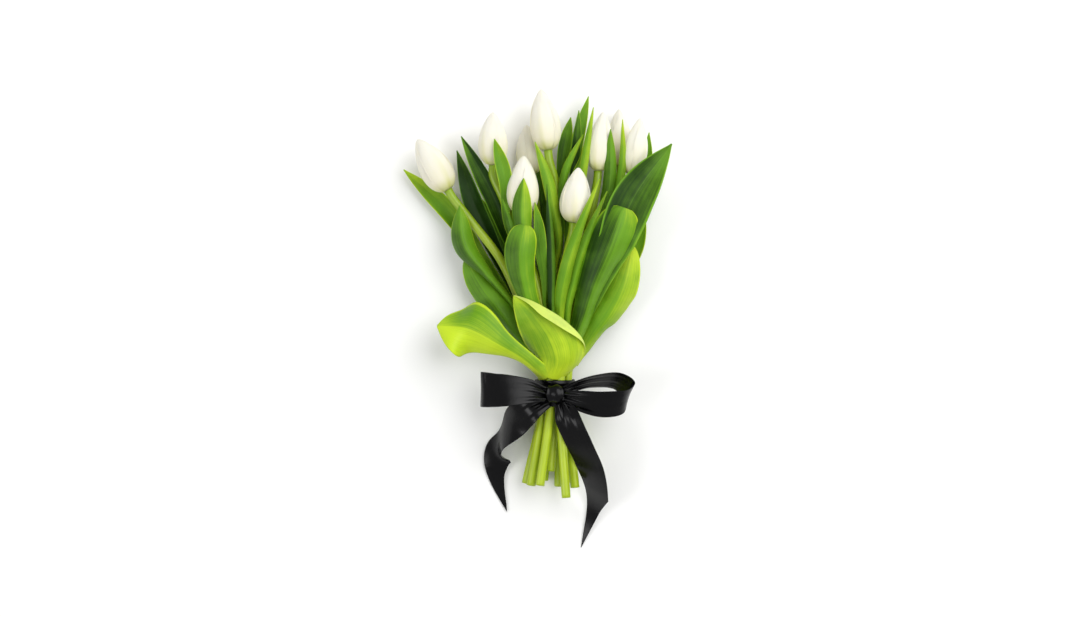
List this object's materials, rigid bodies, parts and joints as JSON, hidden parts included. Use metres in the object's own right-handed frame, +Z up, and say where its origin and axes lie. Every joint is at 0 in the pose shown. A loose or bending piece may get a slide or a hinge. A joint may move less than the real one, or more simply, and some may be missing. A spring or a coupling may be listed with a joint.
{
  "type": "bunch of tulips",
  "caption": "hand-tied bunch of closed white tulips with broad green leaves, lying on its back, stems held together by a black satin ribbon bow",
  "frame": {"origin": "on the surface that the bunch lies on, under the middle of its footprint", "axes": "+Y along the stems from the cut ends to the flowers, +X across the bunch to the right seen from above with the flowers away, +Z up from the surface"},
  "size_m": [0.2696, 0.4568, 0.0747],
  "materials": {
    "petal": "soft satin petal, cream white, greener at the foot",
    "leaf": "waxy fresh leaf with fine lengthwise veins",
    "stem": "smooth fresh stem, yellow-green",
    "ribbon": "black satin ribbon"
  },
  "bodies": {
    "root": {"tulip_1_stem": "stem", "tulip_2_stem": "stem", "tulip_3_stem": "stem", "tulip_4_stem": "stem", "tulip_5_stem": "stem", "tulip_6_stem": "stem", "tulip_7_stem": "stem", "tulip_8_stem": "stem", "tulip_9_stem": "stem", "tulip_1_bloom": "petal", "tulip_2_bloom": "petal", "tulip_3_bloom": "petal", "tulip_4_bloom": "petal", "tulip_5_bloom": "petal", "tulip_6_bloom": "petal", "tulip_7_bloom": "petal", "tulip_8_bloom": "petal", "tulip_9_bloom": "petal", "leaf_front_fold": "leaf", "leaf_left_flop": "leaf", "leaf_front_left": "leaf", "leaf_front_right": "leaf", "leaf_centre": "leaf", "leaf_centre_right_1": "leaf", "leaf_centre_right_2": "leaf", "leaf_mid_left": "leaf", "leaf_mid_left_thin": "leaf", "leaf_centre_thin": "leaf", "leaf_left_channel": "leaf", "leaf_left_low": "leaf", "leaf_right_far": "leaf", "leaf_right_tall": "leaf", "leaf_right_thin": "leaf", "leaf_centre_tall": "leaf", "leaf_left_tall": "leaf", "leaf_left_bright": "leaf", "leaf_left_dark": "leaf", "leaf_right_low": "leaf", "leaf_right_edge": "leaf", "leaf_top_1": "leaf", "leaf_top_2": "leaf", "leaf_top_3": "leaf", "leaf_top_4": "leaf", "leaf_top_5": "leaf", "leaf_top_6": "leaf", "leaf_right_back": "leaf", "leaf_left_far": "leaf", "leaf_under_1": "leaf", "leaf_under_2": "leaf", "leaf_under_3": "leaf", "leaf_under_4": "leaf", "leaf_under_5": "leaf", "leaf_under_6": "leaf", "ribbon_band": "ribbon", "ribbon_knot": "ribbon", "ribbon_loop_left": "ribbon", "ribbon_loop_right": "ribbon", "ribbon_tail_left": "ribbon", "ribbon_tail_right": "ribbon"}
  },
  "joints": []
}
